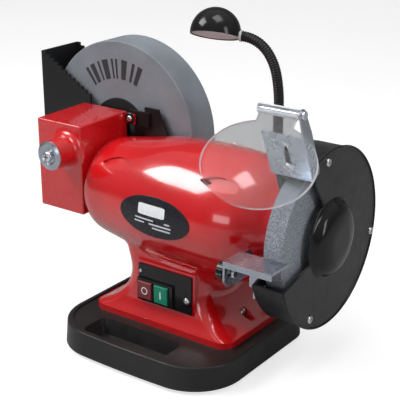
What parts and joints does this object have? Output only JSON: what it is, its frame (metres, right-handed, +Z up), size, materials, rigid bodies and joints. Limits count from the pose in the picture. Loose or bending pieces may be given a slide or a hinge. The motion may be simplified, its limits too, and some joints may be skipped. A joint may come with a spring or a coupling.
{
  "type": "bench grinder",
  "caption": "Combined bench grinder: fast dry wheel with guard, eye shield and tool rest, slow wet wheel in a water tank, gooseneck lamp, on a base with a tray.",
  "frame": {"origin": "on the resting surface, at the centre of the four foot holes, below the motor shaft", "axes": "+X along the motor shaft towards the dry wheel, -Y towards the operator, +Z up"},
  "size_m": [0.4426, 0.2339, 0.3498],
  "materials": {
    "red_paint": "glossy enamel",
    "red_gearbox": "glossy enamel",
    "black_base": "satin textured moulding",
    "black_guard": "satin black enamel",
    "black_tank": "satin moulding",
    "black_hub": "satin black",
    "black_gloss": "gloss moulding",
    "neck_rubber": "ribbed sleeve",
    "foot_rubber": "matt",
    "dry_stone": "coarse vitrified abrasive",
    "wet_stone": "fine vitrified abrasive",
    "zinc": "bright zinc plate",
    "steel": "turned",
    "screw_steel": "bright plated",
    "clear": "clear moulding",
    "button_red": "semi-gloss",
    "button_green": "semi-gloss",
    "plate_dark": "printed foil",
    "grey_plastic": "frosted",
    "aluminium": "die cast",
    "lamination": "laminated steel",
    "copper": "enamelled copper",
    "bronze": "sintered bronze",
    "nylon": "nylon",
    "paper": "blotting paper",
    "capacitor_can": "drawn can"
  },
  "bodies": {
    "stand": {"base_plate": "black_base", "base_feet": "foot_rubber", "base_screws": "screw_steel", "housing_front": "red_paint", "housing_rear": "red_paint", "housing_screws": "screw_steel", "name_plate": "plate_dark", "end_brackets": "aluminium", "bearing_outer_races": "steel", "bearing_balls": "screw_steel", "stator_core": "lamination", "stator_windings": "copper", "idler_pin": "steel", "gearbox_housing": "red_gearbox", "gearbox_cover": "black_guard", "shaft_bushes": "bronze", "tank_screws": "screw_steel", "water_tank": "black_tank", "guard_shell": "black_guard", "guard_cover": "black_guard", "cover_screws": "screw_steel", "guard_mount_screws": "screw_steel", "deflector_screw": "screw_steel", "rest_bracket": "zinc", "switch_plate": "black_gloss", "switch_body": "black_gloss", "switch_screws": "screw_steel", "capacitor": "capacitor_can", "cable_gland": "black_base", "lamp_socket": "black_gloss"},
    "rotor": {"motor_shaft": "steel", "rotor_core": "lamination", "bearing_inner_races": "steel", "worm": "steel", "wheel_flanges": "zinc", "paper_washers": "paper", "dry_wheel": "dry_stone", "dry_nut": "zinc"},
    "idler": {"idler_gear": "nylon"},
    "wet": {"wet_shaft": "steel", "wet_gear": "nylon", "wet_hub_front": "black_hub", "wet_wheel": "wet_stone", "wet_hub_rear": "black_hub", "wet_nut": "zinc", "end_washer": "zinc", "end_screw": "screw_steel"},
    "on_button": {"button_on": "button_green"},
    "off_button": {"button_off": "button_red"},
    "deflector": {"spark_deflector": "zinc", "hinge_rod": "screw_steel"},
    "shield": {"eye_shield": "clear"},
    "rest": {"tool_rest": "zinc"},
    "clamp_knob": {"rest_knob": "black_gloss", "rest_bolt": "screw_steel"},
    "lamp_neck": {"neck_lower": "neck_rubber"},
    "lamp_head": {"neck_upper": "neck_rubber", "lamp_collar": "grey_plastic", "lamp_shade": "black_gloss", "lamp_lens": "grey_plastic"}
  },
  "joints": [
    {"name": "rotor_spin", "type": "hinge", "parent": "stand", "child": "rotor", "pos_m": [0, 0, 0.149], "axis": [1, 0, 0], "continuous": true},
    {"name": "idler_spin", "type": "hinge", "parent": "stand", "child": "idler", "pos_m": [-0.14779, 0, 0.1734], "axis": [0, 1, 0], "continuous": true},
    {"name": "wet_spin", "type": "hinge", "parent": "stand", "child": "wet", "pos_m": [-0.1285, 0, 0.193], "axis": [0, 1, 0], "continuous": true},
    {"name": "press_on", "type": "slide", "parent": "stand", "child": "on_button", "axis": [0, 1, 0], "range_m": [0, 0.0025], "stiffness_N_per_m": 400},
    {"name": "press_off", "type": "slide", "parent": "stand", "child": "off_button", "axis": [0, 1, 0], "range_m": [0, 0.0025], "stiffness_N_per_m": 400},
    {"name": "deflector_slide", "type": "slide", "parent": "stand", "child": "deflector", "axis": [0, -0.3907, 0.9205], "range_m": [-0.012, 0]},
    {"name": "shield_tilt", "type": "hinge", "parent": "deflector", "child": "shield", "pos_m": [0.14875, -0.072, 0.287], "axis": [1, 0, 0], "range_deg": [-90, 8]},
    {"name": "rest_slide", "type": "slide", "parent": "stand", "child": "rest", "axis": [0, 1, 0], "range_m": [-0.01, 0.0015]},
    {"name": "knob_turn", "type": "hinge", "parent": "stand", "child": "clamp_knob", "pos_m": [0.105, -0.093, 0.134], "axis": [1, 0, 0], "range_deg": [-180, 180]},
    {"name": "lamp_lean", "type": "hinge", "parent": "stand", "child": "lamp_neck", "pos_m": [0.085, 0.03, 0.223], "axis": [1, 0, 0], "range_deg": [-15, 20]},
    {"name": "lamp_bend", "type": "hinge", "parent": "lamp_neck", "child": "lamp_head", "pos_m": [0.085, 0.03, 0.258], "axis": [-0.225, 0.9744, 0], "range_deg": [-25, 25]}
  ],
  "couplings": [
    {"joint": "idler_spin", "follows": "rotor_spin", "ratio": 0.045455},
    {"joint": "wet_spin", "follows": "rotor_spin", "ratio": -0.045455}
  ]
}
